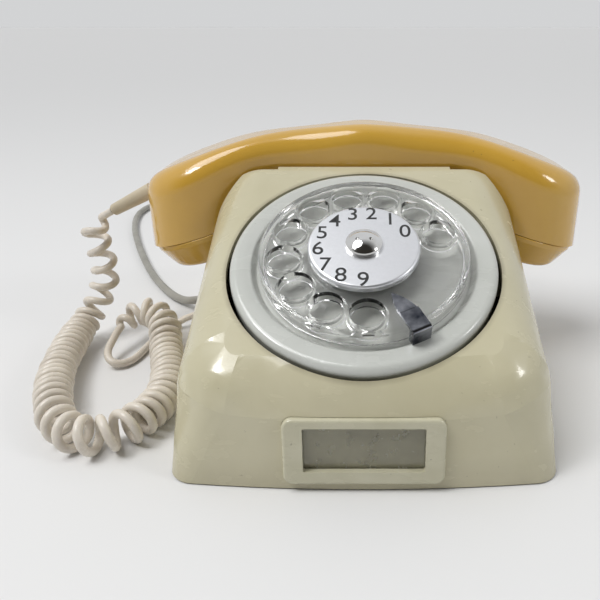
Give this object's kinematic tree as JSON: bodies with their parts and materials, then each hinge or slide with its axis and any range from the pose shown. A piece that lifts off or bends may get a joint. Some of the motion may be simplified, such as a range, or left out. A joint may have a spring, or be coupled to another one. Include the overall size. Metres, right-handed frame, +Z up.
{
  "type": "rotary telephone",
  "caption": "Desk telephone with a clear rotary dial, a lift-off handset on a curly cord, and a line cord with a plug.",
  "frame": {"origin": "centre of the telephone's bottom, without its cords, on the surface that it stands on", "axes": "+X to the right seen from the front, +Y to the rear, +Z up"},
  "size_m": [0.3291, 0.44, 0.1184],
  "materials": {
    "ivory_shell": "glossy, lightly scuffed",
    "dial_white": "glossy",
    "mustard_shell": "glossy",
    "clear_acrylic": "clear",
    "satin_plate": "satin",
    "chrome_parts": "polished",
    "cord_beige": "satin",
    "cord_grey": "satin",
    "zinc_steel": "zinc plated",
    "brass_parts": "satin",
    "black_rubber": "matte",
    "black_plastic": "matte",
    "board_resin": "laminate",
    "copper_winding": "enamelled wire",
    "brown_foil": "waxed",
    "card_stock": "matte"
  },
  "bodies": {
    "base": {"housing": "ivory_shell", "base_plate": "zinc_steel", "rubber_feet": "black_rubber", "base_screws": "zinc_steel", "card_frame": "ivory_shell", "card_pane": "clear_acrylic", "name_card": "card_stock", "dial_ring": "dial_white", "dial_carrier": "zinc_steel", "dial_bridge": "zinc_steel", "dial_pillars": "brass_parts", "dial_legs": "zinc_steel", "finger_stop": "chrome_parts", "impulse_contacts": "black_plastic", "circuit_board": "board_resin", "board_posts": "brass_parts", "induction_coil": "copper_winding", "capacitors": "brown_foil", "terminal_strip": "black_plastic", "ringer_bracket": "zinc_steel", "ringer_coils": "copper_winding", "gong_left": "brass_parts", "gong_right": "brass_parts", "gong_posts": "zinc_steel", "hook_bracket": "zinc_steel", "hook_contacts": "black_plastic", "hook_springs": "zinc_steel", "tail_grommet": "cord_beige", "line_grommet": "cord_grey", "handset_curl": "cord_beige", "handset_cord_tail": "cord_beige", "line_cord": "cord_grey", "line_lead": "cord_grey", "line_coil": "cord_grey", "cord_tie": "black_plastic", "plug_body": "cord_grey", "plug_pins": "brass_parts"},
    "dial": {"finger_wheel": "clear_acrylic", "number_plate": "satin_plate", "wheel_cap": "chrome_parts", "dial_shaft": "zinc_steel", "drive_gear": "brass_parts", "return_spring": "zinc_steel"},
    "impulse": {"impulse_pinion": "brass_parts", "impulse_gear": "brass_parts", "impulse_cam": "black_plastic", "impulse_shaft": "zinc_steel"},
    "governor": {"governor_pinion": "brass_parts", "governor_rotor": "brass_parts", "governor_shaft": "zinc_steel"},
    "handset": {"handset_shell": "mustard_shell", "mouthpiece_cap": "mustard_shell", "earpiece_cap": "mustard_shell", "transmitter_capsule": "zinc_steel", "receiver_capsule": "zinc_steel", "handset_relief": "cord_beige"},
    "hook": {"hook_bar": "zinc_steel", "hook_plungers": "dial_white"},
    "ringer": {"clapper": "zinc_steel"}
  },
  "joints": [
    {"name": "dial_turn", "type": "hinge", "parent": "base", "child": "dial", "pos_m": [0, -0.04884, 0.07273], "axis": [0, 0.454, -0.891], "range_deg": [0, 321], "stiffness_Nm_per_rad": 0.008, "springref_deg": -114.59},
    {"name": "impulse_spin", "type": "hinge", "parent": "base", "child": "impulse", "pos_m": [-0.02457, -0.05509, 0.0471], "axis": [0, 0.454, -0.891], "range_deg": [-1344, 0]},
    {"name": "governor_spin", "type": "hinge", "parent": "base", "child": "governor", "pos_m": [-0.01637, -0.07519, 0.03686], "axis": [0, 0.454, -0.891], "range_deg": [0, 4032]},
    {"name": "handset_lift", "type": "slide", "parent": "base", "child": "handset", "axis": [0, 0, 1], "range_m": [0, 0.12]},
    {"name": "hook_press", "type": "slide", "parent": "base", "child": "hook", "axis": [0, 0, 1], "range_m": [0, 0.005], "deforming": ["hook_springs"]},
    {"name": "clapper_swing", "type": "hinge", "parent": "base", "child": "ringer", "pos_m": [0, 0.042, 0.015], "axis": [0, 0, 1], "range_deg": [-3.8, 3.8], "stiffness_Nm_per_rad": 0.01}
  ],
  "couplings": [
    {"joint": "impulse_spin", "follows": "dial_turn", "ratio": -4},
    {"joint": "governor_spin", "follows": "dial_turn", "ratio": 12},
    {"joint": "hook_press", "follows": "handset_lift", "ratio": 0.0416}
  ]
}
